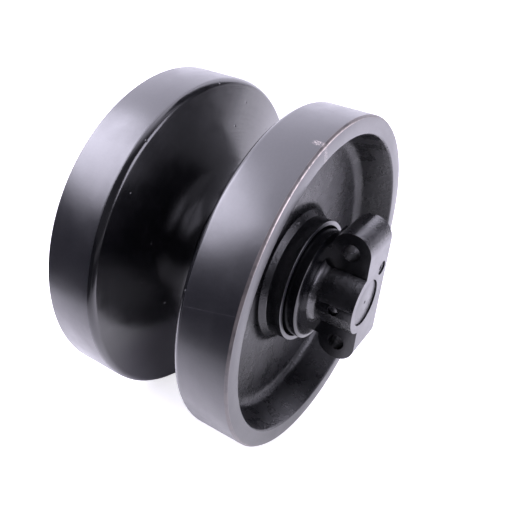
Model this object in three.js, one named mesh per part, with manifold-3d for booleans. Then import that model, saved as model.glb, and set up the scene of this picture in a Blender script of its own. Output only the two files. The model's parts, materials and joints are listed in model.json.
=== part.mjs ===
// Twin-rim track roller: a two-piece steel wheel that turns on a fixed shaft.
// The shaft is held at both ends by bolted collars. Millimetres, +Z up.
// The wheel turns about Y, the collars' mounting faces look along +X,
// and the origin is the middle of the wheel on its axis.

import * as THREE from 'three';
import { mergeVertices } from 'three/addons/utils/BufferGeometryUtils.js';
import Module from 'manifold-3d';

const wasm = await Module();
wasm.setup();

// ---- driving dimensions -------------------------------------------------

// wheel: distances along the axis are measured from the middle plane
const treadRadius = 180;      // running surface of both rims
const treadInnerY = 55;       // where a running surface ends, on the groove side
const rimFaceY = 107;         // outer face of a rim
const rimFaceWidth = 16;      // radial width of the flat rim face
const rimChamferR = 2.5;      // outer edge of the tread, radial
const rimChamferY = 3;        // outer edge of the tread, axial
const rimEdgeRadius = 8;      // rounded groove edge of the tread
const lipRadial = 1;          // rounded mouth of the dish, radial
const lipAxial = 2;           // rounded mouth of the dish, axial
const dishDepth = 42;         // rim face down to the web
const dishDraft = 9;          // the dish wall leans in by this much
const dishFillet = 12;        // dish wall into web
const webRise = 4;            // the web is lower at the hub than at the rim
const groovePitch = 14;       // degrees the groove side leans from square
const waistRadius = 75;       // turned band between the rims, the narrowest place
const bandHalf = 13;          // half the width of that band
const bandStep = 1.5;         // shoulder where the forged fillet meets the band
const filletTilt = 31;        // degrees the fillet leans from the axis at that shoulder
const seamGap = 0.3;          // between the two wheel halves at the seam
const weldDepth = 5;          // depth of the weld groove round the seam
const weldHalfWidth = 3;      // half its width at the waist surface
const weldCrown = 1.2;        // how far the bead stands proud

// hub
const hubWall = 5;            // hub metal outside the counterbore
const hubFaceY = 91;          // end face of the hub
const hubEdge = 1;            // broken edge of the hub face
const hubFillet = 13;         // hub outside into the web
const hubFilletStep = 3;      // the cast boss is this much fatter than the hub
const mouthDepth = 13;        // counterbore that takes the collar's flange
const mouthGap = 2.5;         // flange to counterbore, radial
const sealHousingDepth = 12;  // seal housing below the counterbore

// shaft and bearings
const shaftRadius = 25;
const shaftRecess = 1.5;      // shaft end below the collar's end face
const shaftEdge = 1;          // broken edge of the shaft end
const centreMarkRadius = 2.3;
const centreMarkDepth = 2.5;
const thrustRadius = 36;      // collar forged on the middle of the shaft
const thrustHalf = 9;
const washerThickness = 3.3;
const washerRadius = 37;
const bushWall = 4.7;
const bushLength = 52.3;

// floating seals: one metal ring turns, the other stands
const sealRingWidth = 10.85;
const sealBoreGap = 8;        // shaft surface to the seal ring's bore
const sealBody = 7;           // radial thickness of a ring's body
const sealLip = 5;            // its face flange stands out by this much
const sealLipWidth = 2.5;
const toricSection = 3.2;     // section radius of the rubber rings
const housingTaper = 2.5;     // housing mouth is wider than its floor

// end collars
const barrelLength = 47;      // flange face to the collar's end face
const flangeWall = 9.9;       // flange metal outside the seal cup's mouth
const flangeBack = 13;        // flange metal behind the seal cup
const flangeChamferR = 6.2;
const flangeChamferY = 2.8;
const barrelWall = 9;         // round body over the shaft
const barrelFillet = 8;       // barrel into flange
const collarEdge = 1;         // broken edges
const mountStand = 7;         // flat mounting face beyond the barrel
const spotX = 10;             // bolt seats, on the other side of the axis
const boltPitch = 112;        // between the two bolt holes
const boltHoleRadius = 9.25;  // clearance for an M16 bolt
const bossRadius = 21;

// shaft lock pin, oil plug and shaft O-ring
const pinRadius = 5.2;
const pinRecess = 3;
const pinFloor = 6;           // metal left under the pin's blind hole
const plugRadius = 7.4;
const plugLength = 12;
const plugRecess = 1.5;
const plugFromMount = 13;     // plug's centre to the mounting face
const plugInBarrel = 6;       // plug's centre inside the barrel's height
const plugSocketAF = 6;       // hexagon across flats
const plugSocketDepth = 5;
const oilwayRadius = 3;
const oRingSection = 1.75;
const oRingGrooveDepth = 3.8;
const oRingGrooveWidth = 5;
const oRingFromFlange = 7;    // flange face to the middle of the O-ring groove

// clearances
const fitGap = 0.3;           // between pieces that touch
const runGap = 0.3;           // shaft to bush, radial
const faceGap = 0.3;          // between running faces
const bushToCavity = 0.5;     // bush end below the seal cavity's floor
const washerGap = 1;          // washer and cavity, radial

// facets
const wheelSteps = 48;
const turnedSteps = 32;
const ringSteps = 24;
const holeSteps = 16;

// ---- places worked out from the sizes ------------------------------------

const boreShaft = shaftRadius + fitGap;
const bushBore = shaftRadius + runGap;
const bushOuter = bushBore + bushWall;
const hubBore = bushOuter + fitGap;
const washerY = thrustHalf + faceGap;
const cavityHalf = washerY + washerThickness + faceGap;
const cavityRadius = Math.max(thrustRadius, washerRadius) + washerGap;
const bushY = cavityHalf + fitGap;
const mouthFloorY = hubFaceY - mouthDepth;
const sealFloorY = mouthFloorY - sealHousingDepth;
const sealPlaneY = mouthFloorY + 1;
const cupMouthY = sealPlaneY + 1;
const sealBore = shaftRadius + sealBoreGap;
const sealBodyRadius = sealBore + sealBody;
const sealLipRadius = sealBodyRadius + sealLip;
const toricRadius = sealBodyRadius + toricSection + 0.7;
const housingFloorRadius = toricRadius + toricSection;
const housingMouthRadius = housingFloorRadius + housingTaper;
const flangeRadius = housingMouthRadius + flangeWall;
const mouthRadius = flangeRadius + mouthGap;
const hubRadius = mouthRadius + hubWall;
const barrelRadius = shaftRadius + barrelWall;
const mountX = barrelRadius + mountStand;
const webHalf = flangeRadius - flangeChamferR;
const cupFloorY = cupMouthY + sealHousingDepth;
const flangeFaceY = cupFloorY + flangeBack;
const endFaceY = flangeFaceY + barrelLength;
const oRingY = flangeFaceY + oRingFromFlange;
const plugX = mountX - plugFromMount;
const plugZ = barrelRadius - plugInBarrel;
const bossY = endFaceY - bossRadius;
const pinHoleRadius = pinRadius + fitGap;
const plugHoleRadius = plugRadius + fitGap;
const shaftEndY = endFaceY - shaftRecess;
const bushEndY = Math.min(bushY + bushLength, sealFloorY - bushToCavity);

// ---- helpers --------------------------------------------------------------

const p = (x, y) => new THREE.Vector2(x, y);

function arc(cx, cy, radius, from, to, steps) {
  const points = [];
  for (let i = 0; i <= steps; i += 1) {
    const a = THREE.MathUtils.degToRad(from + ((to - from) * i) / steps);
    points.push(p(cx + radius * Math.cos(a), cy + radius * Math.sin(a)));
  }
  return points;
}

// A closed ring turned about Y. Its outline is wound anticlockwise in (r, y).
function ring(outline, steps) {
  const wound = THREE.ShapeUtils.area(outline) > 0 ? outline : [...outline].reverse();
  return new THREE.LatheGeometry([...wound, wound[0].clone()], steps);
}

// A solid turned about Y whose outline starts and ends on the axis.
function turned(outline, steps) {
  return new THREE.LatheGeometry(outline, steps);
}

function solid(geometry) {
  const bare = geometry.clone();
  bare.deleteAttribute('normal');
  bare.deleteAttribute('uv');
  const merged = mergeVertices(bare, 1e-5);
  return new wasm.Manifold(new wasm.Mesh({
    numProp: 3,
    vertProperties: new Float32Array(merged.attributes.position.array),
    triVerts: new Uint32Array(merged.index.array),
  }));
}

function geometryOf(body) {
  const mesh = body.getMesh();
  const geometry = new THREE.BufferGeometry();
  geometry.setAttribute('position', new THREE.BufferAttribute(mesh.vertProperties, 3));
  geometry.setIndex(new THREE.BufferAttribute(mesh.triVerts, 1));
  geometry.computeVertexNormals();
  return geometry;
}

// A cylinder along X between two places, for drilling and for pins.
function barX(radius, x0, x1, y, z, steps) {
  const bar = new THREE.CylinderGeometry(radius, radius, x1 - x0, steps);
  bar.rotateZ(Math.PI / 2);
  bar.translate((x0 + x1) / 2, y, z);
  return bar;
}

// A cylinder along Y between two places.
function barY(radius, y0, y1, x, z, steps) {
  const bar = new THREE.CylinderGeometry(radius, radius, y1 - y0, steps);
  bar.translate(x, (y0 + y1) / 2, z);
  return bar;
}

// ---- wheel half -----------------------------------------------------------

// Groove side of a half, from the seam out to the tread's inner edge. The fillet
// starts at the band's shoulder and ends where the straight, leaning side begins.
function grooveSide() {
  const lean = THREE.MathUtils.degToRad(groovePitch);
  const tilt = THREE.MathUtils.degToRad(filletTilt);
  const turn = Math.PI / 2 - tilt - lean;
  const edgeR = treadRadius - rimEdgeRadius;
  const edgeY = treadInnerY - rimEdgeRadius / Math.cos(lean);
  const shoulderR = waistRadius + bandStep;
  const sideY = edgeY - (edgeR - shoulderR) * Math.tan(lean);
  const reach = (sideY - bandHalf) / (Math.cos(tilt) - Math.sin(tilt) * Math.tan(lean));
  const fillet = reach / Math.tan(turn / 2);
  const centreR = shoulderR + fillet * Math.cos(tilt);
  const centreY = bandHalf - fillet * Math.sin(tilt);
  return [
    p(waistRadius - weldDepth, seamGap / 2),
    p(waistRadius, weldHalfWidth),
    p(waistRadius, bandHalf - bandStep / 2),
    ...arc(centreR, centreY, fillet, 180 - filletTilt, 90 + groovePitch, 3),
  ];
}

function treadAndRim() {
  const lipR = treadRadius - rimChamferR - rimFaceWidth + lipRadial;
  return [
    ...arc(treadRadius - rimEdgeRadius, treadInnerY, rimEdgeRadius, groovePitch - 90, 0, 3),
    p(treadRadius, rimFaceY - rimChamferY),
    p(treadRadius - rimChamferR, rimFaceY),
    p(lipR, rimFaceY),
    p(lipR - lipRadial, rimFaceY - lipAxial),
  ];
}

// Dished outer side: wall, fillet, web and the fillet up to the hub.
function dish() {
  const webY = rimFaceY - dishDepth;
  const wallR = treadRadius - rimChamferR - rimFaceWidth - dishDraft;
  const bossR = hubRadius + hubFilletStep;
  return [
    ...arc(wallR - dishFillet, webY + dishFillet, dishFillet, 0, -90, 2),
    ...arc(bossR + hubFillet, webY - webRise + hubFillet, hubFillet, -90, -180, 3),
  ];
}

function hubAndBores() {
  return [
    p(hubRadius, rimFaceY - dishDepth - webRise + hubFillet + hubFilletStep),
    p(hubRadius, hubFaceY - hubEdge),
    p(hubRadius - hubEdge, hubFaceY),
    p(mouthRadius, hubFaceY),
    p(mouthRadius, mouthFloorY),
    p(housingMouthRadius, mouthFloorY),
    p(housingFloorRadius, sealFloorY),
    p(hubBore, sealFloorY),
    p(hubBore, cavityHalf),
    p(cavityRadius, cavityHalf),
    p(cavityRadius, seamGap / 2),
  ];
}

function wheelHalf() {
  return ring([...grooveSide(), ...treadAndRim(), ...dish(), ...hubAndBores()], wheelSteps);
}

// Bead in the groove between the halves, clear of its two sloping sides.
function weldBead() {
  const slope = Math.atan2(weldHalfWidth - seamGap / 2, weldDepth);
  const inset = fitGap / Math.cos(slope);
  const half = weldHalfWidth - inset;
  const rootR = waistRadius - weldDepth + fitGap * 2;
  return ring([
    p(rootR, seamGap / 4),
    p(rootR, -seamGap / 4),
    p(waistRadius, -half),
    p(waistRadius + weldCrown * 0.75, -half / 2),
    p(waistRadius + weldCrown, 0),
    p(waistRadius + weldCrown * 0.75, half / 2),
    p(waistRadius, half),
  ], wheelSteps);
}

// ---- shaft and bearings ---------------------------------------------------

function shaftEnd(side) {
  const grooveR = shaftRadius - oRingGrooveDepth;
  const points = [
    p(0, shaftEndY - centreMarkDepth),
    p(centreMarkRadius, shaftEndY),
    p(shaftRadius - shaftEdge, shaftEndY),
    p(shaftRadius, shaftEndY - shaftEdge),
    p(shaftRadius, oRingY + oRingGrooveWidth / 2),
    p(grooveR, oRingY + oRingGrooveWidth / 2),
    p(grooveR, oRingY - oRingGrooveWidth / 2),
    p(shaftRadius, oRingY - oRingGrooveWidth / 2),
    p(shaftRadius, thrustHalf),
    p(thrustRadius - shaftEdge, thrustHalf),
    p(thrustRadius, thrustHalf - shaftEdge),
  ];
  return side > 0 ? points : points.map((q) => p(q.x, -q.y));
}

function shaft() {
  const outline = [...shaftEnd(-1), ...shaftEnd(1).reverse()];
  const reach = shaftRadius + 5;
  const drill = (y) => solid(barX(pinHoleRadius, -reach, reach, y, 0, holeSteps));
  const body = solid(turned(outline, turnedSteps));
  return geometryOf(body.subtract(drill(bossY)).subtract(drill(-bossY)));
}

function bush() {
  return ring([
    p(bushBore, bushY),
    p(bushOuter - 1, bushY),
    p(bushOuter, bushY + 1),
    p(bushOuter, bushEndY),
    p(bushBore, bushEndY),
  ], turnedSteps);
}

function thrustWasher() {
  const bore = shaftRadius + washerGap;
  return ring([
    p(bore, washerY),
    p(washerRadius, washerY),
    p(washerRadius, washerY + washerThickness),
    p(bore, washerY + washerThickness),
  ], ringSteps);
}

// ---- seals ----------------------------------------------------------------

// The metal ring on the wheel's side of the sealing plane, or its mirror image.
function sealRing(side) {
  const face = sealPlaneY - (side * faceGap) / 2;
  const at = (depth) => face - side * depth;
  return ring([
    p(sealBore, at(sealRingWidth)),
    p(sealBodyRadius, at(sealRingWidth)),
    p(sealBodyRadius, at(sealLipWidth)),
    p(sealLipRadius, at(sealLipWidth)),
    p(sealLipRadius, at(0)),
    p(sealBore + 2, at(0)),
    p(sealBore, at(2)),
  ], ringSteps);
}

function toric(side) {
  const gap = sealLipWidth + toricSection + fitGap * 2;
  const y = sealPlaneY - side * (faceGap / 2 + gap);
  return ring(arc(toricRadius, y, toricSection, 0, 300, 5), ringSteps);
}

function shaftORing() {
  const radius = shaftRadius - oRingGrooveDepth + oRingSection + fitGap;
  return ring(arc(radius, oRingY, oRingSection, 0, 300, 5), ringSteps);
}

// ---- end collar -----------------------------------------------------------

// The turned part: flange with its seal cup, and the barrel over the shaft.
function collarTurning() {
  const barrelEnd = endFaceY - collarEdge;
  return ring([
    p(boreShaft, cupFloorY),
    p(housingFloorRadius, cupFloorY),
    p(housingMouthRadius, cupMouthY),
    p(flangeRadius, cupMouthY),
    p(flangeRadius, flangeFaceY - flangeChamferY),
    p(flangeRadius - flangeChamferR, flangeFaceY),
    ...arc(barrelRadius + barrelFillet, flangeFaceY + barrelFillet, barrelFillet, -90, -180, 3),
    p(barrelRadius, barrelEnd),
    p(barrelRadius - collarEdge, endFaceY),
    p(boreShaft + collarEdge, endFaceY),
    p(boreShaft, barrelEnd),
  ], turnedSteps);
}

// Side view of the bolting block, drawn with the axis along the shape's X.
function blockOutline() {
  const pitch = boltPitch / 2;
  const outline = new THREE.Shape();
  const rootY = flangeFaceY - flangeChamferY - 1;
  outline.moveTo(rootY, -webHalf);
  outline.lineTo(bossY - bossRadius, -webHalf);
  outline.absarc(bossY, -pitch, bossRadius, Math.PI, Math.PI * 2, false);
  outline.lineTo(endFaceY, pitch);
  outline.absarc(bossY, pitch, bossRadius, 0, Math.PI, false);
  outline.lineTo(bossY - bossRadius, webHalf);
  outline.lineTo(rootY, webHalf);
  outline.closePath();
  return outline;
}

// Extrudes the outline from the bolt seats to the mounting face, along +X.
function block() {
  const height = mountX + spotX;
  const slab = new THREE.ExtrudeGeometry(blockOutline(), {
    depth: height - 2 * collarEdge,
    bevelEnabled: true,
    bevelThickness: collarEdge,
    bevelSize: collarEdge,
    bevelOffset: -collarEdge,
    bevelSegments: 1,
    curveSegments: 8,
  });
  const axes = new THREE.Matrix4().makeBasis(
    new THREE.Vector3(0, 1, 0),
    new THREE.Vector3(0, 0, 1),
    new THREE.Vector3(1, 0, 0),
  );
  slab.applyMatrix4(axes);
  slab.translate(collarEdge - spotX, 0, 0);
  return slab;
}

function collar() {
  const past = 5;
  const pitch = boltPitch / 2;
  const boltHole = (z) => barX(boltHoleRadius, -spotX - past, mountX + past, bossY, z, holeSteps);
  const plugEnd = endFaceY - plugRecess - plugLength - fitGap;
  const pinEnd = mountX - pinFloor;
  return geometryOf(solid(collarTurning())
    .add(solid(block()))
    .subtract(solid(barY(boreShaft, cupFloorY - past, endFaceY + past, 0, 0, turnedSteps)))
    .subtract(solid(boltHole(pitch)))
    .subtract(solid(boltHole(-pitch)))
    .subtract(solid(barX(pinHoleRadius, -barrelRadius - past, pinEnd, bossY, 0, holeSteps)))
    .subtract(solid(barY(plugHoleRadius, plugEnd, endFaceY + past, plugX, -plugZ, holeSteps)))
    .subtract(solid(barY(oilwayRadius, cupFloorY - past, plugEnd + 1, plugX, -plugZ, 12))));
}

function lockPin() {
  return barX(pinRadius, pinRecess - barrelRadius, mountX - pinFloor - fitGap, bossY, 0, holeSteps);
}

function oilPlug() {
  const top = endFaceY - plugRecess;
  const socketRadius = plugSocketAF / Math.sqrt(3);
  const body = solid(barY(plugRadius, top - plugLength, top, plugX, -plugZ, holeSteps));
  const socket = barY(socketRadius, top - plugSocketDepth, top + 5, plugX, -plugZ, 6);
  return geometryOf(body.subtract(solid(socket)));
}

// ---- materials ------------------------------------------------------------

const paint = new THREE.MeshStandardMaterial({ color: 0x26262b, roughness: 0.38, metalness: 0.1 });
const steel = new THREE.MeshStandardMaterial({ color: 0x8d8f94, roughness: 0.35, metalness: 1 });
const bronze = new THREE.MeshStandardMaterial({ color: 0xa9793f, roughness: 0.4, metalness: 1 });
const rubber = new THREE.MeshStandardMaterial({ color: 0x161616, roughness: 0.8, metalness: 0 });

// ---- assembly -------------------------------------------------------------

const part = new THREE.Group();

function place(name, geometry, material, turnedOver = false) {
  const mesh = new THREE.Mesh(geometry, material);
  mesh.name = name;
  mesh.rotation.x = turnedOver ? Math.PI : 0;
  part.add(mesh);
}

// Both ends carry the same pieces. The left end is the right one turned over about X.
function placePair(name, geometry, material) {
  place(`${name}_right`, geometry, material);
  place(`${name}_left`, geometry, material, true);
}

placePair('wheel_half', wheelHalf(), paint);
place('seam_weld', weldBead(), paint);
placePair('bush', bush(), bronze);
placePair('thrust_washer', thrustWasher(), bronze);
placePair('seal_ring_wheel', sealRing(1), steel);
placePair('seal_rubber_wheel', toric(1), rubber);
place('shaft', shaft(), paint);
placePair('collar', collar(), paint);
placePair('seal_ring_collar', sealRing(-1), steel);
placePair('seal_rubber_collar', toric(-1), rubber);
placePair('shaft_o_ring', shaftORing(), rubber);
placePair('lock_pin', lockPin(), paint);
placePair('oil_plug', oilPlug(), paint);

export default part;
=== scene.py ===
# %% [markdown]
# # A twin-rim track roller
# The object is a heavy steel wheel for a rubber track: two dished rims on one hub, turning on a fixed
# shaft that is held at each end by a bolted collar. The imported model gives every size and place, and
# here each piece is made again with a fine surface, its own edges and its own finish.

# %% Load the frame
import json
import math
import bpy
from mathutils import Matrix, Vector


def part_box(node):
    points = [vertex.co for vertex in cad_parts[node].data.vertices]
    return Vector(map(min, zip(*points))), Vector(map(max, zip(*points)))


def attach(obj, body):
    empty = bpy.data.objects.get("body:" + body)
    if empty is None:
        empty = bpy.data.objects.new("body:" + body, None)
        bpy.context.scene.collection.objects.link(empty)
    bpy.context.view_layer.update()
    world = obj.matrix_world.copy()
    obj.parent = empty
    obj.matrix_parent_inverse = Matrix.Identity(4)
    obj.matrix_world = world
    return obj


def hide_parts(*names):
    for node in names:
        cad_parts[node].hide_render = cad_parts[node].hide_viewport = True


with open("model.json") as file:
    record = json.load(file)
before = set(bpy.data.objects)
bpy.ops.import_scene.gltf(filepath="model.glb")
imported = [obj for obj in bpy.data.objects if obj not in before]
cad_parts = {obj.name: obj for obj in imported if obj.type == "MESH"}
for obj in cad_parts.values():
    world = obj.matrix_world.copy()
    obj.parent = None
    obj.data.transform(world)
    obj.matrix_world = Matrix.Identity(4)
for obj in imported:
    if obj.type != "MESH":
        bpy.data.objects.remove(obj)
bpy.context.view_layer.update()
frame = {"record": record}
mm = 0.001

# %% [markdown]
# ## Sizes
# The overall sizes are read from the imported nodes, so they follow the frame. The smaller ones, such as
# how deep the dish is or how wide an edge is broken, are the object's own and have one name each.
# Distances along the shaft are measured from the middle of the wheel.

# %% Sizes read from the frame
wheel_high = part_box("wheel_half_right")[1]
collar_low, collar_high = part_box("collar_right")
tread_radius = wheel_high.x
rim_face_y = wheel_high.y
cup_mouth_y = collar_low.y
end_face_y = collar_high.y
mount_x = frame["record"]["mounts"][0]["pos_m"][0]
seat_x = -10 * mm
seam_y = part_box("wheel_half_right")[0].y
print("tread radius", round(tread_radius, 4), "end face", round(end_face_y, 4))

# %% Sizes of the wheel
tread_inner_y = 55 * mm
edge_round = 8 * mm
rim_chamfer_r = 1.8 * mm
rim_chamfer_y = 2.2 * mm
lip_radius = 161.5 * mm
lip_round = 2.6 * mm
groove_lean = math.radians(14)
waist_radius = 75 * mm
band_half = 13 * mm
band_step = 1.5 * mm
fillet_tilt = math.radians(31)
weld_depth = 5 * mm
weld_half_width = 3 * mm
dish_depth = 42 * mm
dish_draft = 9 * mm
dish_fillet = 12 * mm
web_rise = 4 * mm
hub_radius = 67 * mm
hub_face_y = 91 * mm
hub_fillet = 8 * mm
cast_step = 6 * mm
cast_wall = 0.6 * mm
mouth_radius = 62 * mm
mouth_floor_y = 78 * mm
housing_mouth = 49.6 * mm
housing_floor = 47.1 * mm
seal_floor_y = 66 * mm
hub_bore = 30.3 * mm
cavity_radius = 38 * mm
cavity_y = 12.9 * mm

# %% [markdown]
# ## Small modelling helpers
# Operators act on whatever is selected, so each piece starts from nothing selected. A turned piece is
# made as on a lathe drawing: one point is pulled round the section, the corners are rounded, and the
# section is spun about the shaft's axis. A vertex bevel cuts back along both edges, so the cut that
# gives a wanted radius depends on the corner's angle. A single point can be selected only in vertex
# mode, so every section sets that mode before it is drawn.

# %% Selection helpers
def deselect_all():
    bpy.ops.object.select_all(action="DESELECT")
    bpy.context.view_layer.objects.active = None


def name_new(name):
    """Names the primitive or copy that an operator has just made."""
    piece = bpy.context.active_object
    piece.name = name
    piece.data.name = name
    return piece


def only(piece):
    deselect_all()
    piece.select_set(True)
    bpy.context.view_layer.objects.active = piece


def pick(piece, kind, test):
    """In edit mode, selects the vertices, edges or faces that pass a test."""
    bpy.ops.mesh.select_mode(type=kind)
    bpy.ops.mesh.select_all(action="DESELECT")
    bpy.ops.object.mode_set(mode="OBJECT")
    parts = {"VERT": piece.data.vertices, "EDGE": piece.data.edges, "FACE": piece.data.polygons}
    found = [item for item in parts[kind] if test(item)]
    for item in found:
        item.select = True
    bpy.ops.object.mode_set(mode="EDIT")
    return len(found)


def finish_modifier(piece, kind, **settings):
    only(piece)
    modifier = piece.modifiers.new(kind.lower(), kind)
    for key, value in settings.items():
        setattr(modifier, key, value)
    bpy.ops.object.modifier_apply(modifier=modifier.name)


def settle(piece):
    """Moves an object's place into its mesh."""
    only(piece)
    bpy.ops.object.transform_apply(location=True, rotation=True, scale=True)


def smooth(piece, degrees=32):
    only(piece)
    bpy.ops.object.shade_smooth_by_angle(angle=math.radians(degrees))


def delete(piece):
    only(piece)
    bpy.ops.object.delete()


# %% Turning a section about the shaft's axis
large_fillet = 5 * mm
fine_edge = 3 * mm


def draw_section(name, corners, closed):
    """Pulls one point round the corners (radius, along, fillet)."""
    deselect_all()
    bpy.ops.mesh.primitive_plane_add(size=mm, location=(corners[0][0], corners[0][1], 0))
    piece = name_new(name)
    settle(piece)
    bpy.ops.object.mode_set(mode="EDIT")
    bpy.ops.mesh.select_mode(type="VERT")
    bpy.ops.mesh.select_all(action="SELECT")
    bpy.ops.mesh.merge(type="CENTER")
    path = corners + corners[:1] if closed else corners
    for here, there in zip(path, path[1:]):
        step = (there[0] - here[0], there[1] - here[1], 0)
        bpy.ops.mesh.extrude_vertices_move(TRANSFORM_OT_translate={"value": step})
    bpy.ops.mesh.select_all(action="SELECT")
    bpy.ops.mesh.remove_doubles(threshold=mm / 1000)
    return piece


def round_corners(piece, corners, segments):
    """Rounds each corner to its fillet. Large fillets get twice the segments."""
    for i, (radius, along, fillet) in enumerate(corners):
        if fillet <= 0:
            continue
        here = Vector((radius, along, 0))
        before = Vector((*corners[i - 1][:2], 0)) - here
        after = Vector((*corners[(i + 1) % len(corners)][:2], 0)) - here
        cut = fillet / math.tan(before.angle(after) / 2)
        steps = segments * (2 if fillet > large_fillet else 1)
        pick(piece, "VERT", lambda v: (v.co - here).length < mm / 500)
        bpy.ops.mesh.bevel(offset=cut, segments=steps, profile=0.5, affect="VERTICES")


def turn(name, corners, steps=128, segments=3, closed=True, divide=None):
    """A piece turned about Y. divide names a stretch of the section that is cut finer."""
    piece = draw_section(name, corners, closed)
    round_corners(piece, corners, segments)
    if divide:
        pick(piece, "EDGE", lambda e: all(divide(piece.data.vertices[v].co) for v in e.vertices))
        bpy.ops.mesh.subdivide(number_cuts=1)
        for _ in range(3):
            pick(piece, "EDGE", lambda e: long_edge(piece, e, fine_edge, divide))
            bpy.ops.mesh.subdivide(number_cuts=1)
    bpy.ops.mesh.select_all(action="SELECT")
    bpy.ops.mesh.spin(steps=steps, angle=math.tau, center=(0, 0, 0), axis=(0, 1, 0))
    bpy.ops.mesh.select_all(action="SELECT")
    bpy.ops.mesh.remove_doubles(threshold=mm / 1000)
    bpy.ops.mesh.normals_make_consistent(inside=False)
    bpy.ops.object.mode_set(mode="OBJECT")
    smooth(piece)
    return piece


def long_edge(piece, edge, length, place):
    ends = [piece.data.vertices[v].co for v in edge.vertices]
    return (ends[0] - ends[1]).length > length and all(place(end) for end in ends)


def turn_over(piece, name):
    """A copy turned half a turn about X, for the other end of the object."""
    only(piece)
    bpy.ops.object.duplicate()
    copy = name_new(name)
    copy.matrix_world = Matrix.Rotation(math.pi, 4, "X")
    settle(copy)
    return copy


# %% Joining, cutting and fitting to the frame
def combine(piece, other, operation):
    """Joins or cuts a piece with another, which is used up."""
    finish_modifier(piece, "BOOLEAN", object=other, operation=operation, solver="EXACT")
    delete(other)


def bar(name, radius, low, high, axis, steps=48, chamfer=0):
    """A round bar between two points along X or Y. A chamfer breaks its ends."""
    middle = (Vector(low) + Vector(high)) / 2
    length = (Vector(high) - Vector(low)).length
    lean = (0, math.pi / 2, 0) if axis == "X" else (math.pi / 2, 0, 0)
    deselect_all()
    bpy.ops.mesh.primitive_cylinder_add(
        vertices=steps, radius=radius, depth=length, location=middle, rotation=lean
    )
    piece = name_new(name)
    settle(piece)
    if chamfer:
        finish_modifier(piece, "BEVEL", width=chamfer, segments=2, limit_method="ANGLE")
    return piece


def drill(piece, radius, low, high, axis, steps=48):
    """Cuts a round hole between two points."""
    combine(piece, bar("cut", radius, low, high, axis, steps), "DIFFERENCE")


def stand_for(piece, node, body):
    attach(piece, body)
    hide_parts(node)
    print(piece.name, len(piece.data.polygons), "faces, rides on", body)


def stand_for_pair(right, stem, body):
    """Puts the right-hand piece and its turned-over copy in place of a pair of nodes."""
    left = turn_over(right, stem + "_left_fine")
    stand_for(right, stem + "_right", body)
    stand_for(left, stem + "_left", body)
    return left, right


# %% [markdown]
# ## The camera
# The roller is seen from above its left end, with the shaft pointing down to the right. The camera is
# given by the direction it looks from and the point it looks at, because that is easier to read than
# a matrix. A small roll about its own line of sight is what a hand-held camera has.

# %% Camera
view_azimuth = math.radians(-59.4)
view_elevation = math.radians(32.76)
view_roll = math.radians(4.56)
view_distance = 0.6996
view_aim = Vector((0.0067, -0.0150, -0.0029))
view_lens = 44.14

view_back = Vector((
    math.sin(view_azimuth) * math.cos(view_elevation),
    -math.cos(view_azimuth) * math.cos(view_elevation),
    math.sin(view_elevation),
))
camera = bpy.data.objects.new("camera", bpy.data.cameras.new("camera"))
camera.data.lens = view_lens
camera.data.clip_start = 0.01
camera.matrix_world = (
    Matrix.Translation(view_aim + view_back * view_distance)
    @ view_back.to_track_quat("Z", "Y").to_matrix().to_4x4()
    @ Matrix.Rotation(view_roll, 4, "Z")
)
bpy.context.scene.collection.objects.link(camera)
bpy.context.scene.camera = camera
print("camera", [round(v, 3) for v in camera.matrix_world.translation])

# %% [markdown]
# ## Shader nodes in short
# A finish is a tree of small nodes. These helpers add one node, or one sum or noise, in a line each, so
# that a finish reads like its recipe. The studio and all the materials use them.

# %% Node helpers
def add_node(tree, kind, inputs=None, **settings):
    """Adds a node. An input given as a socket is linked, and anything else is set."""
    node = tree.nodes.new(kind)
    for key, value in settings.items():
        setattr(node, key, value)
    for key, value in (inputs or {}).items():
        if isinstance(value, bpy.types.NodeSocket):
            tree.links.new(value, node.inputs[key])
        else:
            node.inputs[key].default_value = value
    return node


def math_node(tree, operation, *values):
    node = add_node(tree, "ShaderNodeMath", dict(enumerate(values)), operation=operation)
    return node.outputs[0]


def product(tree, *values):
    """Multiplies any number of values."""
    result = values[0]
    for value in values[1:]:
        result = math_node(tree, "MULTIPLY", result, value)
    return result


def noise(tree, vector, scale, detail=3, roughness=0.55):
    inputs = {"Vector": vector, "Scale": scale, "Detail": detail, "Roughness": roughness}
    return add_node(tree, "ShaderNodeTexNoise", inputs).outputs["Fac"]


def stretch(tree, value, low, high, to_low=0.0, to_high=1.0, steps="SMOOTHSTEP"):
    """Spreads the range from low to high over another range, and stops at its ends."""
    names = ("Value", "From Min", "From Max", "To Min", "To Max")
    inputs = dict(zip(names, (value, low, high, to_low, to_high)))
    return add_node(tree, "ShaderNodeMapRange", inputs, interpolation_type=steps).outputs["Result"]


# %% [markdown]
# ## The studio
# Black gloss paint shows the room more than it shows itself. The roller stands on a white floor that
# glows a little, so that its shadow is faint and it is lit from below. Directly under the roller its
# glow is turned down, a painted shadow, and far to its left its glow and colour are turned down, a
# painted shade; camera rays see neither, only reflections and bounced light do. A big soft light hangs
# behind it on the left and another stands low in front. The ceiling behind is bright and the side the
# camera is on is dark, so the round treads run from bright through black to bright again. Three black
# cards are
# seen only in reflections: one on the left for the treads, one low in front for the groove and one high
# on the right for the dish.

# %% Floor
floor_size = 30
floor_white = (0.9, 0.88, 0.92)
floor_shadow_shape = (1, 0.9, 0)
floor_shadow_shift = (0.03, -0.03, 0)
floor_shadow_low = 0.07
floor_shadow_high = 0.17
floor_dark_x = -0.58
floor_bright_x = -0.2
floor_strength = 0.75


def plain_plane(name, width, height, place, face):
    """A flat sheet centred on a point and facing a direction."""
    deselect_all()
    bpy.ops.mesh.primitive_plane_add(size=1)
    sheet = name_new(name)
    sheet.matrix_world = (
        Matrix.Translation(place)
        @ Vector(face).to_track_quat("Z", "Y").to_matrix().to_4x4()
        @ Matrix.Diagonal((width, height, 1, 1))
    )
    settle(sheet)
    return sheet


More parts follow.
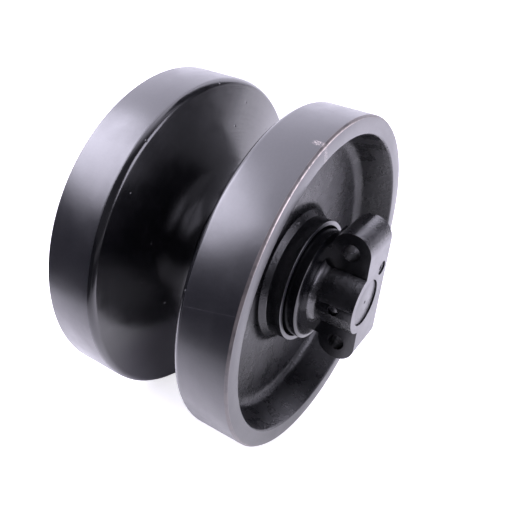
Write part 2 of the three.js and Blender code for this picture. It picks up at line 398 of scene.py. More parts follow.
floor = plain_plane("floor", floor_size, floor_size, (0, 0, -tread_radius), (0, 0, 1))
floor_finish = bpy.data.materials.new("white_floor")
floor_finish.use_nodes = True
tree = floor_finish.node_tree
shader = tree.nodes["Principled BSDF"]
shader.inputs["Roughness"].default_value = 0.9
shader.inputs["Specular IOR Level"].default_value = 0.1
shader.inputs["Emission Color"].default_value = (0.98, 0.97, 1.0, 1)

place = add_node(tree, "ShaderNodeTexCoord").outputs["Object"]
by_camera = add_node(tree, "ShaderNodeLightPath").outputs["Is Camera Ray"]
from_roller = add_node(
    tree, "ShaderNodeVectorMath", {0: place, 1: floor_shadow_shape, 2: floor_shadow_shift},
    operation="MULTIPLY_ADD",
).outputs[0]
away = add_node(tree, "ShaderNodeVectorMath", {0: from_roller}, operation="LENGTH").outputs["Value"]
# Painted shadow: the floor's glow fades out under the roller, for all but camera rays.
clear = stretch(tree, away, floor_shadow_low, floor_shadow_high)
across = add_node(tree, "ShaderNodeSeparateXYZ", {0: place}).outputs["X"]
# Painted shade: the floor's colour and glow get darker towards its left, for all but camera rays.
painted_light_to_right = stretch(tree, across, floor_dark_x, floor_bright_x, 0.15, 1.0, "LINEAR")
shade = math_node(tree, "MAXIMUM", painted_light_to_right, by_camera)
painted_shade_floor_color = add_node(
    tree, "ShaderNodeVectorMath", {0: floor_white, "Scale": shade}, operation="SCALE",
).outputs[0]
tree.links.new(painted_shade_floor_color, shader.inputs["Base Color"])
glow = math_node(tree, "MAXIMUM", product(tree, clear, painted_light_to_right), by_camera)
tree.links.new(product(tree, glow, floor_strength), shader.inputs["Emission Strength"])
floor.data.materials.append(floor_finish)

# %% Lights
light_tint = (0.95, 0.92, 1.1)


def softbox(name, azimuth, elevation, distance, width, height, radiance):
    """A rectangular soft light at a direction from the roller, facing it."""
    flat = distance * math.cos(math.radians(elevation))
    place = Vector((
        flat * math.cos(math.radians(azimuth)),
        flat * math.sin(math.radians(azimuth)),
        distance * math.sin(math.radians(elevation)),
    ))
    lamp = bpy.data.lights.new(name, "AREA")
    lamp.shape = "RECTANGLE"
    lamp.size = width
    lamp.size_y = height
    lamp.energy = radiance * math.pi * width * height
    lamp.color = light_tint
    box = bpy.data.objects.new(name, lamp)
    box.matrix_world = (
        Matrix.Translation(place) @ place.to_track_quat("Z", "Y").to_matrix().to_4x4()
    )
    bpy.context.scene.collection.objects.link(box)


softbox("key_softbox", 119, 42, 1.8, 1.6, 1.1, 6.5)
softbox("front_softbox", -85, 22, 1.8, 1.1, 1.0, 4.5)

# %% Cards
card_finish = bpy.data.materials.new("black_card")
card_finish.use_nodes = True
card_shader = card_finish.node_tree.nodes["Principled BSDF"]
card_shader.inputs["Base Color"].default_value = (0.01, 0.01, 0.012, 1)
card_shader.inputs["Roughness"].default_value = 1


def black_card(name, width, height, place, face):
    """A card that is seen only in reflections."""
    card = plain_plane(name, width, height, place, face)
    card.data.materials.append(card_finish)
    card.visible_camera = False
    card.visible_diffuse = False
    card.visible_shadow = False
    card.visible_transmission = False


black_card("left_card", 1.3, 0.34, (-0.42, 0.24, -0.01), (1, -0.6, 0))
black_card("right_card", 0.6, 1.3, (0.66, -0.45, 0.8), (-0.66, 0.45, -0.8))
black_card("front_card", 0.7, 0.16, (-0.27, -0.40, -0.095), (0.57, 0.82, 0))

# %% The room, bright behind the roller and dark behind the camera
brightest_way = Vector((0.62, 0.42, 0.66)).normalized()
room_dark = 0.14
room_bright = 2.4

room = bpy.data.worlds.new("room")
bpy.context.scene.world = room
room.use_nodes = True
tree = room.node_tree
studio = tree.nodes["Background"]
studio.inputs["Color"].default_value = (*light_tint, 1)
direction = add_node(tree, "ShaderNodeTexCoord").outputs["Generated"]
toward_back = add_node(
    tree, "ShaderNodeVectorMath", {0: direction, 1: brightest_way}, operation="DOT_PRODUCT",
).outputs["Value"]
strength = stretch(tree, toward_back, 0.15, 0.75, room_dark, room_bright)
tree.links.new(strength, studio.inputs["Strength"])
backdrop = add_node(tree, "ShaderNodeBackground", {"Color": (1, 1, 1, 1)})
by_camera = add_node(tree, "ShaderNodeLightPath").outputs["Is Camera Ray"]
choose = add_node(
    tree, "ShaderNodeMixShader", {0: by_camera, 1: studio.outputs[0], 2: backdrop.outputs[0]},
)
tree.links.new(choose.outputs[0], tree.nodes["World Output"].inputs["Surface"])
bpy.context.scene.view_settings.view_transform = "Standard"

# %% [markdown]
# ## The two wheel halves
# Each half is a forging turned on a lathe wherever it runs or seals. The section is drawn once for the
# right-hand half and spun about the shaft. In the groove, the straight side meets a forged fillet that
# ends at a turned band, so the corner between them is where two lines cross, worked out here.

# %% Wheel section
def groove_y(radius):
    """Where the straight, leaning side of the groove is at a radius."""
    edge_y = tread_inner_y - edge_round / math.cos(groove_lean)
    return edge_y - (tread_radius - edge_round - radius) * math.tan(groove_lean)


shoulder_radius = waist_radius + band_step
fillet_reach = (groove_y(shoulder_radius) - band_half) / (
    math.cos(fillet_tilt) - math.sin(fillet_tilt) * math.tan(groove_lean)
)
fillet_corner = (
    shoulder_radius + fillet_reach * math.sin(fillet_tilt),
    band_half + fillet_reach * math.cos(fillet_tilt),
)
fillet_turn = math.pi / 2 - fillet_tilt - groove_lean
groove_fillet = fillet_reach / math.tan(fillet_turn / 2)
web_y = rim_face_y - dish_depth
web_hub_y = web_y - web_rise
hub_start_y = web_hub_y + hub_fillet
broken = 0.5 * mm
wheel_section = [
    (cavity_radius, seam_y, 0),
    (waist_radius - weld_depth, seam_y, 0),
    (waist_radius, weld_half_width, 0),
    (waist_radius, band_half - band_step / 2, 0),
    (shoulder_radius, band_half, 0),
    (*fillet_corner, groove_fillet * 0.999),
    (tread_radius, groove_y(tread_radius), edge_round),
    (tread_radius, rim_face_y - rim_chamfer_y, broken),
    (tread_radius - rim_chamfer_r, rim_face_y, broken),
    (lip_radius - lip_round / 10, rim_face_y, lip_round),
    (lip_radius - dish_draft, web_y, dish_fillet),
    (hub_radius + cast_step, web_hub_y, hub_fillet),
    (hub_radius + cast_step, hub_start_y + cast_wall, 3 * broken),
    (hub_radius, hub_start_y + cast_step, 2 * broken),
    (hub_radius, hub_face_y, 1.4 * broken),
    (mouth_radius, hub_face_y, broken),
    (mouth_radius, mouth_floor_y, broken),
    (housing_mouth, mouth_floor_y, broken),
    (housing_floor, seal_floor_y, broken),
    (hub_bore, seal_floor_y, 0),
    (hub_bore, cavity_y, 0),
    (cavity_radius, cavity_y, 0),
]
print("groove fillet", round(groove_fillet, 4), "web", round(web_y, 4))

# %% Wheel halves
def in_dish(point):
    return (
        hub_radius + cast_step - broken < point.x < lip_radius
        and web_hub_y - mm < point.y < rim_face_y - 2 * lip_round
    )


wheel = turn("wheel_half_right_fine", wheel_section, steps=288, divide=in_dish)
print("wheel half", len(wheel.data.polygons), "faces")

# %% [markdown]
# The dish is left as it came out of the forging die, so its surface is a little uneven. The unevenness
# is real shape, not only shading: the dish's points get a weight that fades to nothing at the turned
# edges, and two displacements, one broad and one fine, push them in and out by tenths of a millimetre.

# %% Forged unevenness
def push(piece, group, size, depth, strength):
    """Displaces the weighted points by a procedural cloud of a given size."""
    cloud = bpy.data.textures.new(f"{piece.name}_{group}_{size:.4f}", "CLOUDS")
    cloud.noise_scale = size
    cloud.noise_depth = depth
    finish_modifier(
        piece, "DISPLACE", texture=cloud, texture_coords="LOCAL", mid_level=0.5,
        strength=strength, vertex_group=group,
    )


def weigh(piece, name, weight_of):
    group = piece.vertex_groups.new(name=name)
    for vertex in piece.data.vertices:
        weight = weight_of(vertex.co)
        if weight > 0:
            group.add([vertex.index], weight, "REPLACE")


hub_fade = 8 * mm
lip_fade = 10 * mm


def dish_weight(point):
    """0 on turned surfaces, rising to 1 in the middle of the dish."""
    radius = math.hypot(point.x, point.z)
    root_radius = hub_radius + cast_step
    if not (point.y > web_hub_y - 2 * mm and root_radius - mm < radius < lip_radius + mm):
        return 0
    from_hub = (radius - root_radius) / hub_fade if point.y < hub_start_y + mm else 0
    from_lip = (rim_face_y - lip_round - point.y) / lip_fade
    return max(0, min(1, from_hub, from_lip))


weigh(wheel, "forged", dish_weight)
push(wheel, "forged", 34 * mm, 1, 0.7 * mm)
push(wheel, "forged", 6 * mm, 1, 0.35 * mm)
wheel_left, wheel_right = stand_for_pair(wheel, "wheel_half", "wheel")

# %% [markdown]
# ## The seam weld
# The halves are joined by a weld run round the waist. A weld bead is a row of overlapping ripples, so
# the bead is spun first and every few degrees its crown is raised and lowered by a small wave.

# %% Seam weld
weld_crown = 1.2 * mm
weld_root_radius = waist_radius - weld_depth + 0.6 * mm
weld_root_half = 0.1 * mm
weld_toe_half = weld_half_width - 0.35 * mm
crown_half = 0.8 * mm
crown_round = 0.8 * mm
ripple_count = 110
ripple_height = 0.16 * mm
ripple_bow = 1.8
weld = turn("seam_weld_fine", [
    (weld_root_radius, weld_root_half, 0),
    (weld_root_radius, -weld_root_half, 0),
    (waist_radius, -weld_toe_half, 0),
    (waist_radius + weld_crown, -crown_half, crown_round),
    (waist_radius + weld_crown, crown_half, crown_round),
    (waist_radius, weld_toe_half, 0),
], steps=ripple_count * 6)
for vertex in weld.data.vertices:
    radius = math.hypot(vertex.co.x, vertex.co.z)
    if radius > waist_radius + mm / 10:
        around = math.atan2(vertex.co.z, vertex.co.x)
        off_middle = vertex.co.y / weld_half_width
        wave = math.sin(ripple_count * around + ripple_bow * off_middle * off_middle)
        grown = radius + ripple_height * wave
        vertex.co.x *= grown / radius
        vertex.co.z *= grown / radius
smooth(weld, 60)
stand_for(weld, "seam_weld", "wheel")

# %% [markdown]
# ## Running gear inside the hub
# Bushes, thrust washers and the floating seal rings are turned pieces, and the seals' rubber rings and
# the shaft's O-rings are round-section rings. They hardly show, but they are what the roller runs on, so
# each turned piece has its own section with broken edges.

# %% Bushes and thrust washers
shaft_radius = 25 * mm
running_gap = 0.3 * mm
washer_gap = mm
bush_low, bush_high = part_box("bush_right")
bush = turn("bush_right_fine", [
    (shaft_radius + running_gap, bush_low.y, broken),
    (bush_high.x, bush_low.y, 2 * broken),
    (bush_high.x, bush_high.y, broken),
    (shaft_radius + running_gap, bush_high.y, broken),
])
bushes = stand_for_pair(bush, "bush", "wheel")

washer_low, washer_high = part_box("thrust_washer_right")
washer = turn("thrust_washer_right_fine", [
    (shaft_radius + washer_gap, washer_low.y, broken / 2),
    (washer_high.z, washer_low.y, broken / 2),
    (washer_high.z, washer_high.y, broken / 2),
    (shaft_radius + washer_gap, washer_high.y, broken / 2),
])
washers = stand_for_pair(washer, "thrust_washer", "wheel")

# %% Floating seals
seal_bore = 33 * mm
seal_body = 40 * mm
seal_lip = 45 * mm
seal_lip_width = 2.5 * mm
seal_chamfer = 2 * mm


def seal_ring(name, face_y, back_y):
    """A seal ring whose lapped face, with its lip, is at face_y."""
    inward = 1 if back_y > face_y else -1
    return turn(name, [
        (seal_bore, back_y, broken),
        (seal_body, back_y, broken),
        (seal_body, face_y + inward * seal_lip_width, broken),
        (seal_lip, face_y + inward * seal_lip_width, broken),
        (seal_lip, face_y, broken / 2),
        (seal_bore + seal_chamfer, face_y, 0),
        (seal_bore, face_y + inward * seal_chamfer, broken),
    ])


def rubber_ring(name, node):
    """A round-section ring made from a torus that fills the node's box."""
    low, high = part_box(node)
    section = (high.y - low.y) / 2 * 1.02
    deselect_all()
    bpy.ops.mesh.primitive_torus_add(
        major_radius=high.z - section, minor_radius=section, major_segments=128,
        minor_segments=20, location=(0, (low.y + high.y) / 2, 0), rotation=(math.pi / 2, 0, 0),
    )
    ring = name_new(name)
    settle(ring)
    smooth(ring, 60)
    return ring


ring_low, ring_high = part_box("seal_ring_wheel_right")
seal_rings_wheel = stand_for_pair(
    seal_ring("seal_ring_wheel_right_fine", ring_high.y, ring_low.y),
    "seal_ring_wheel", "wheel",
)
ring_low, ring_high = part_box("seal_ring_collar_right")
seal_rings_collar = stand_for_pair(
    seal_ring("seal_ring_collar_right_fine", ring_low.y, ring_high.y),
    "seal_ring_collar", "axle",
)
rubbers = []
rubber_places = (
    ("seal_rubber_wheel", "wheel"),
    ("seal_rubber_collar", "axle"),
    ("shaft_o_ring", "axle"),
)
for stem, body in rubber_places:
    ring = rubber_ring(stem + "_right_fine", stem + "_right")
    rubbers += stand_for_pair(ring, stem, body)

# %% [markdown]
# ## The end collars
# A collar is one forging: a round flange that covers the seal, a barrel over the shaft, and a block
# with two bolt bosses. Its flat faces and holes are machined. The round part is turned, the block is
# an outline pulled up to its height, and the two are joined before the holes are cut, as
# the forging is machined. The edges are broken last, all at once, by a bevel on every sharp edge.

# %% Collar's turned part
flange_radius = 59.5 * mm
flange_face_y = 105 * mm
flange_chamfer_r = 6.2 * mm
flange_chamfer_y = 2.8 * mm
barrel_radius = 34 * mm
barrel_fillet = 8 * mm
cup_floor_y = 92 * mm
bore_radius = 25.3 * mm
collar_steps = 112

collar = turn("collar_right_fine", [
    (bore_radius, cup_floor_y, 0),
    (housing_floor, cup_floor_y, 0),
    (housing_mouth, cup_mouth_y, 0),
    (flange_radius, cup_mouth_y, 0),
    (flange_radius, flange_face_y - flange_chamfer_y, 0),
    (flange_radius - flange_chamfer_r, flange_face_y, 0),
    (barrel_radius, flange_face_y, barrel_fillet),
    (barrel_radius, end_face_y, 0),
    (bore_radius, end_face_y, 0),
], steps=collar_steps)

# %% Collar's bolting block
bolt_half_pitch = 56 * mm
boss_radius = 21 * mm
boss_round = boss_radius * 0.9995
boss_y = end_face_y - boss_radius
boss_back_y = boss_y - boss_radius
boss_end_z = bolt_half_pitch + boss_radius
web_half = flange_radius - flange_chamfer_r
block_root_y = flange_face_y - flange_chamfer_y - mm
block_outline = [
    (block_root_y, -web_half, 0),
    (boss_back_y, -web_half, 0),
    (boss_back_y, -boss_end_z, boss_round),
    (end_face_y, -boss_end_z, boss_round),
    (end_face_y, boss_end_z, boss_round),
    (boss_back_y, boss_end_z, boss_round),
    (boss_back_y, web_half, 0),
    (block_root_y, web_half, 0),
]
block = draw_section("collar_block", block_outline, True)
round_corners(block, block_outline, 8)
bpy.ops.mesh.select_all(action="SELECT")
bpy.ops.mesh.remove_doubles(threshold=mm / 100)
bpy.ops.mesh.edge_face_add()
bpy.ops.mesh.extrude_region_move(TRANSFORM_OT_translate={"value": (0, 0, mount_x - seat_x)})
bpy.ops.mesh.select_all(action="SELECT")
bpy.ops.mesh.normals_make_consistent(inside=False)
bpy.ops.object.mode_set(mode="OBJECT")
# The outline was drawn in X and Y and pulled up Z. This turns X to Y, Y to Z and Z to X.
lay = Matrix(((0, 0, 1, 0), (1, 0, 0, 0), (0, 1, 0, 0), (0, 0, 0, 1)))
block.matrix_world = Matrix.Translation((seat_x, 0, 0)) @ lay
settle(block)
print("block box", [round(v, 4) for c in (block.bound_box[0], block.bound_box[6]) for v in c])

# %% Collar joined and machined
bolt_hole_radius = 9.25 * mm
pin_radius = 5.2 * mm
fit_gap = 0.3 * mm
collar_edge = 0.8 * mm
plug_radius = 7.4 * mm
plug_x = 28 * mm
plug_z = 28 * mm
plug_length = 12 * mm
plug_recess = 1.5 * mm
pin_floor_x = mount_x - 6 * mm
past = 8 * mm

combine(collar, block, "UNION")
bore_low = (0, cup_floor_y - past, 0)
bore_high = (0, end_face_y + past, 0)
drill(collar, bore_radius, bore_low, bore_high, "Y", collar_steps)
for side in (1, -1):
    low = (seat_x - past, boss_y, side * bolt_half_pitch)
    high = (mount_x + past, boss_y, side * bolt_half_pitch)
    drill(collar, bolt_hole_radius, low, high, "X")
low = (-barrel_radius - past, boss_y, 0)
high = (pin_floor_x, boss_y, 0)
drill(collar, pin_radius + fit_gap, low, high, "X")
low = (plug_x, end_face_y - plug_recess - plug_length - fit_gap, -plug_z)
high = (plug_x, end_face_y + past, -plug_z)
drill(collar, plug_radius + fit_gap, low, high, "Y")
only(collar)
bpy.ops.object.mode_set(mode="EDIT")
bpy.ops.mesh.select_all(action="SELECT")
bpy.ops.mesh.remove_doubles(threshold=mm / 50)
bpy.ops.mesh.dissolve_limited(angle_limit=math.radians(0.5))
bpy.ops.object.mode_set(mode="OBJECT")
finish_modifier(
    collar, "BEVEL", width=collar_edge, segments=2, limit_method="ANGLE",
    angle_limit=math.radians(28), use_clamp_overlap=True, miter_outer="MITER_ARC",
)
smooth(collar, 30)
finish_modifier(collar, "WEIGHTED_NORMAL", keep_sharp=True, weight=100)
collar_left, collar_right = stand_for_pair(collar, "collar", "axle")

# %% [markdown]
# ## Shaft, lock pins and oil plugs
# The shaft is one turned bar with a thrust collar at its middle, a groove for each O-ring and a small
# drilled centre mark at each end. A lock pin goes through each collar and the shaft, and a plug with a
# hexagon socket closes each collar's oilway.

# %% Shaft
shaft_end_y = end_face_y - 1.5 * mm
thrust_radius = 36 * mm
thrust_half = 9 * mm
o_ring_y = 112 * mm
o_ring_half = 2.5 * mm
o_ring_floor = shaft_radius - 3.8 * mm
mark_radius = 2.0 * mm
mark_depth = 2.5 * mm


def shaft_half(side):
    """The section of one end, from the centre mark to the thrust collar."""
    return [
        (0, side * (shaft_end_y - mark_depth), 0),
        (mark_radius, side * shaft_end_y, 0),
        (shaft_radius, side * shaft_end_y, mm),
        (shaft_radius, side * (o_ring_y + o_ring_half), broken / 2),
        (o_ring_floor, side * (o_ring_y + o_ring_half), broken),
        (o_ring_floor, side * (o_ring_y - o_ring_half), broken),
        (shaft_radius, side * (o_ring_y - o_ring_half), broken / 2),
        (shaft_radius, side * thrust_half, mm),
        (thrust_radius, side * thrust_half, mm),
    ]


shaft_piece = turn("shaft_fine", shaft_half(1) + shaft_half(-1)[::-1], closed=False)
for side in (1, -1):
    low = (-shaft_radius - past, side * boss_y, 0)
    high = (shaft_radius + past, side * boss_y, 0)
    drill(shaft_piece, pin_radius + fit_gap, low, high, "X")
smooth(shaft_piece)
stand_for(shaft_piece, "shaft", "axle")

# %% Lock pins and oil plugs
pin_low, pin_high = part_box("lock_pin_right")
low = (pin_low.x, boss_y, 0)
high = (pin_high.x, boss_y, 0)
pin = bar("lock_pin_right_fine", pin_radius, low, high, "X", chamfer=0.8 * mm)
smooth(pin)
pins = stand_for_pair(pin, "lock_pin", "axle")

plug_top = end_face_y - plug_recess
socket_depth = 5 * mm
socket_radius = 6 * mm / math.sqrt(3)
low = (plug_x, plug_top - plug_length, -plug_z)
high = (plug_x, plug_top, -plug_z)
plug = bar("oil_plug_right_fine", plug_radius, low, high, "Y")
low = (plug_x, plug_top - socket_depth, -plug_z)
high = (plug_x, plug_top + past, -plug_z)
drill(plug, socket_radius, low, high, "Y", 6)
finish_modifier(
    plug, "BEVEL", width=broken, segments=2, limit_method="ANGLE", angle_limit=math.radians(40),
)
smooth(plug)
plugs = stand_for_pair(plug, "oil_plug", "axle")

# %% [markdown]
# ## Finishes: the effects they share
# All the outside is one coat of black paint over turned, forged and welded steel. Paint that dark shows
# almost only gloss, so the finishes differ in how rough the coat is and in what lies under it. Each
# shared effect is a node group, so that one kind of grain or wear looks the same on every piece, and
# every material only chooses its size and strength.

# %% Group helpers
def new_group(name, inputs, outputs):
    group = bpy.data.node_groups.new(name, "ShaderNodeTree")
    for label, kind, value in inputs:
        socket = group.interface.new_socket(label, in_out="INPUT", socket_type="NodeSocket" + kind)
        if value is not None:
            socket.default_value = value
    for label, kind in outputs:
        group.interface.new_socket(label, in_out="OUTPUT", socket_type="NodeSocket" + kind)
    return group, group.nodes.new("NodeGroupInput").outputs, group.nodes.new("NodeGroupOutput").inputs


def use_group(tree, group, **inputs):
    node = add_node(tree, "ShaderNodeGroup", node_tree=group)
    for key, value in inputs.items():
        label = key.replace("_", " ")
        if isinstance(value, bpy.types.NodeSocket):
            tree.links.new(value, node.inputs[label])
        else:
            node.inputs[label].default_value = value
    return node.outputs


# %% [markdown]
# Marks on a wheel follow its turning. This group gives a point's distance from the axis, its place
# along it and its angle round it, and a vector that is drawn out round the axis, so that any noise
# read on it becomes rings.

# %% Places round the axis
axis_group, given, made = new_group(
    "places_round_the_axis",
    [("Vector", "Vector", None), ("Spacing", "Float", 0.001)],
    [("Radius", "Float"), ("Along", "Float"), ("Angle", "Float"), ("Rings", "Vector")],
)
xyz = add_node(axis_group, "ShaderNodeSeparateXYZ", {0: given["Vector"]}).outputs
squares = math_node(
    axis_group, "ADD", product(axis_group, xyz[0], xyz[0]), product(axis_group, xyz[2], xyz[2]),
)
radius = math_node(axis_group, "SQRT", squares)
spread = math_node(axis_group, "DIVIDE", math_node(axis_group, "ADD", radius, xyz[1]), given["Spacing"])
rings = add_node(axis_group, "ShaderNodeCombineXYZ", {
    0: math_node(axis_group, "DIVIDE", xyz[0], radius),
    1: spread,
    2: math_node(axis_group, "DIVIDE", xyz[2], radius),
}).outputs[0]
angle = math_node(axis_group, "ARCTAN2", xyz[2], xyz[0])
for label, value in (("Radius", radius), ("Along", xyz[1]), ("Angle", angle), ("Rings", rings)):
    axis_group.links.new(value, made[label])

# %% [markdown]
# The grain of a forging has three sizes: broad dents from the hammer scale, a middle pebbling and the
# fine peel of sprayed paint. The pits are rare, so a cell pattern is thresholded until only a few of
# its cells are left.

# %% Grain, pits and peel
grain_group, given, made = new_group(
    "forged_grain", [("Vector", "Vector", None), ("Size", "Float", 0.003)], [("Height", "Float")],
)
sized = add_node(
    grain_group, "ShaderNodeVectorMath",
    {0: given["Vector"], "Scale": math_node(grain_group, "DIVIDE", 1.0, given["Size"])},
    operation="SCALE",
).outputs["Vector"]
broad = noise(grain_group, sized, 0.45, 2)
pebble = noise(grain_group, sized, 1.6, 3, 0.6)
peel = noise(grain_group, sized, 6.0, 2, 0.6)
height = math_node(grain_group, "MULTIPLY_ADD", pebble, 0.55, broad)
height = math_node(grain_group, "MULTIPLY_ADD", peel, 0.16, height)
grain_group.links.new(height, made["Height"])

pits_group, given, made = new_group(
    "rare_pits",
    [("Vector", "Vector", None), ("Spacing", "Float", 0.012), ("Share", "Float", 0.1),
     ("Width", "Float", 0.1)],
    [("Mask", "Float")],
)
apart = add_node(
    pits_group, "ShaderNodeVectorMath",
    {0: given["Vector"], "Scale": math_node(pits_group, "DIVIDE", 1.0, given["Spacing"])},
    operation="SCALE",
).outputs["Vector"]
cells = add_node(pits_group, "ShaderNodeTexVoronoi", {"Vector": apart, "Scale": 1.0}).outputs
lot = add_node(pits_group, "ShaderNodeSeparateColor", {0: cells["Color"]}).outputs[0]
chosen = math_node(pits_group, "LESS_THAN", lot, given["Share"])
spot = stretch(pits_group, cells["Distance"], 0.0, given["Width"], 1.0, 0.0)
pits_group.links.new(product(pits_group, spot, chosen), made["Mask"])

# %% [markdown]
# Paint wears through first on a sharp edge. The Bevel node gives the normal that a rounded edge would
# have, and where that differs from the true normal there is an edge. A noise breaks the wear up. The
# window lets a mark lie only between two values, such as two angles, and fades it out past them.

# %% Edge wear and smudges
wear_group, given, made = new_group(
    "worn_edges",
    [("Vector", "Vector", None), ("Width", "Float", 0.0008), ("Amount", "Float", 0.5)],
    [("Mask", "Float")],
)
rounded = add_node(wear_group, "ShaderNodeBevel", {"Radius": given["Width"]}, samples=6).outputs[0]
plain = add_node(wear_group, "ShaderNodeNewGeometry").outputs["Normal"]
same = add_node(
    wear_group, "ShaderNodeVectorMath", {0: rounded, 1: plain}, operation="DOT_PRODUCT",
).outputs["Value"]
edge = stretch(wear_group, same, 0.995, 0.9)
patchy = noise(wear_group, given["Vector"], 160, 4, 0.7)
reach = math_node(wear_group, "SUBTRACT", 1.0, given["Amount"])
patchy = stretch(wear_group, patchy, reach, math_node(wear_group, "ADD", reach, 0.2))
wear_group.links.new(product(wear_group, edge, patchy), made["Mask"])

smudge_group, given, made = new_group(
    "smudges", [("Vector", "Vector", None), ("Size", "Float", 0.04)], [("Mask", "Float")],
)
per_metre = math_node(smudge_group, "DIVIDE", 1.0, given["Size"])
cloudy = noise(smudge_group, given["Vector"], per_metre, 4, 0.62)
smudge_group.links.new(stretch(smudge_group, cloudy, 0.34, 0.68), made["Mask"])

# %% A window on a value
window_group, given, made = new_group(
    "window",
    [("Value", "Float", 0.0), ("Low", "Float", 0.0), ("High", "Float", 1.0), ("Edge", "Float", 0.1)],
    [("Mask", "Float")],
)
after_low = stretch(
    window_group, given["Value"], math_node(window_group, "SUBTRACT", given["Low"], given["Edge"]),
    given["Low"],
)
before_high = stretch(
    window_group, given["Value"], given["High"],
    math_node(window_group, "ADD", given["High"], given["Edge"]), 1.0, 0.0,
)
window_group.links.new(product(window_group, after_low, before_high), made["Mask"])

# %% [markdown]
# ## Paint on turned steel
# The treads, the rims' faces, the hub and the collars' ends were turned before they were painted, and
# the thin coat lets fine rings show. Paint has rubbed through along the left rim's outer edge, and
# there are two small marks of handling on its tread: a scuff by the edge and one long light scratch.

# %% Paint helpers
def new_finish(name, color, roughness, metallic=0.0, ior=1.5):
    """A new material, its node tree, its shader and the piece's own coordinates."""
    finish = bpy.data.materials.new(name)
    finish.use_nodes = True
    shader = finish.node_tree.nodes["Principled BSDF"]
    shader.inputs["Base Color"].default_value = (*color, 1)
    shader.inputs["Roughness"].default_value = roughness
    shader.inputs["Metallic"].default_value = metallic
    shader.inputs["IOR"].default_value = ior
    place = finish.node_tree.nodes.new("ShaderNodeTexCoord").outputs["Object"]
    return finish, finish.node_tree, shader, place


def bump(tree, shader, *layers):
    """Stacks bumps on a shader's normal. Each layer is a height and its depth in metres."""
    normal = None
    for height, depth in layers:
        node = add_node(tree, "ShaderNodeBump", {"Height": height, "Distance": depth, "Strength": 1.0})
        if normal:
            tree.links.new(normal, node.inputs["Normal"])
        normal = node.outputs[0]
    tree.links.new(normal, shader.inputs["Normal"])


def tint(tree, mask, color, other):
    """A colour that runs from one to another with a mask."""
    sockets = {0: mask}
    for index, value in ((6, color), (7, other)):
        sockets[index] = value if isinstance(value, bpy.types.NodeSocket) else (*value, 1)
    return add_node(tree, "ShaderNodeMix", sockets, data_type="RGBA").outputs[2]


paint_ior = 1.8
thin_coat_ior = 1.5
paint_black = (0.002, 0.0022, 0.003)
paint_gray = (0.009, 0.009, 0.0115)
smudged_black = (0.004, 0.004, 0.0052)
forged_black = (0.005, 0.005, 0.0065)
specked_gray = (0.013, 0.013, 0.016)
scratched_gray = (0.16, 0.155, 0.17)
rubbed_paint = (0.1, 0.085, 0.08)
bare_steel = (0.62, 0.55, 0.52)

# %% Turned paint: where it is worn
rub_start = 1.8
rub_end = 2.25
rub_fade = 0.45
scuff_start = 1.838
scuff_end = 1.856
scuff_fade = 0.012
scratch_angle = 2.906
scratch_slant = 1.23
turned, tree, shader, place = new_finish("turned_paint", paint_gray, 0.3, 0, paint_ior)
at = use_group(tree, axis_group, Vector=place, Spacing=0.6 * mm)
side = math_node(tree, "ABSOLUTE", at["Along"])
off_tread = math_node(tree, "SUBTRACT", tread_radius, at["Radius"])
off_face = math_node(tree, "SUBTRACT", rim_face_y, side)
edge_sum = math_node(tree, "ADD", off_tread, off_face)
on_edge = stretch(tree, edge_sum, 2.3 * mm, 2.9 * mm, 1.0, 0.0)
face_side = stretch(tree, math_node(tree, "SUBTRACT", off_tread, off_face), 0.3 * mm, 1.3 * mm)

left_side = math_node(tree, "LESS_THAN", at["Along"], 0.0)
rub_arc = use_group(
    tree, window_group, Value=at["Angle"], Low=rub_start, High=rub_end, Edge=rub_fade,
)["Mask"]
broken_up = stretch(tree, noise(tree, place, 220, 4, 0.7), 0.3, 0.55)
rub = product(tree, on_edge, face_side, rub_arc, left_side, broken_up)
thinned = stretch(tree, noise(tree, place, 90, 3), 0.3, 0.6, 0.35, 1.0)
thin_paint = product(tree, on_edge, thinned)

scuff_arc = use_group(
    tree, window_group, Value=at["Angle"], Low=scuff_start, High=scuff_end, Edge=scuff_fade,
)["Mask"]
scuff_run = use_group(
    tree, window_group, Value=side, Low=rim_face_y - 9 * mm, High=rim_face_y - 2 * mm, Edge=5 * mm,
)["Mask"]
scratchy = stretch(tree, noise(tree, place, 700, 4, 0.8), 0.46, 0.62)
scuff = product(tree, scuff_arc, scuff_run, scratchy, left_side)

scratch_line = math_node(tree, "MULTIPLY_ADD", at["Along"], scratch_slant, scratch_angle)
off_line = math_node(tree, "ABSOLUTE", math_node(tree, "SUBTRACT", at["Angle"], scratch_line))
scratch_width = stretch(tree, off_line, 0.0005, 0.0022, 0.5, 0.0)
on_tread = math_node(tree, "GREATER_THAN", at["Radius"], tread_radius - mm / 2)
uneven = stretch(tree, noise(tree, place, 60, 3), 0.35, 0.6, 0.3, 1.0)
scratch = product(tree, scratch_width, on_tread, left_side, uneven)

# %% Turned paint: its gloss and colour
ring_height = noise(tree, at["Rings"], 1.0, 2)
wide_rings = noise(tree, use_group(tree, axis_group, Vector=place, Spacing=6 * mm)["Rings"], 1.0, 3)
smudge = use_group(tree, smudge_group, Vector=place, Size=30 * mm)["Mask"]
speck = use_group(tree, smudge_group, Vector=place, Size=2.5 * mm)["Mask"]
peel = use_group(tree, grain_group, Vector=place, Size=2 * mm)["Height"]
sharp_edge = use_group(tree, wear_group, Vector=place, Width=0.6 * mm, Amount=0.5)["Mask"]
bare = math_node(tree, "MAXIMUM", rub, product(tree, scuff, 0.8))
bare = math_node(tree, "MAXIMUM", bare, product(tree, sharp_edge, 0.15))
color = tint(tree, speck, paint_gray, specked_gray)
color = tint(tree, thin_paint, color, rubbed_paint)
color = tint(tree, scratch, color, scratched_gray)
color = tint(tree, bare, color, bare_steel)
tree.links.new(color, shader.inputs["Base Color"])
tree.links.new(bare, shader.inputs["Metallic"])
rough = math_node(tree, "MULTIPLY_ADD", smudge, 0.06, 0.27)
rough = math_node(tree, "MULTIPLY_ADD", wide_rings, 0.06, rough)
rough = math_node(tree, "MULTIPLY_ADD", thin_paint, 0.15, rough)
tree.links.new(rough, shader.inputs["Roughness"])
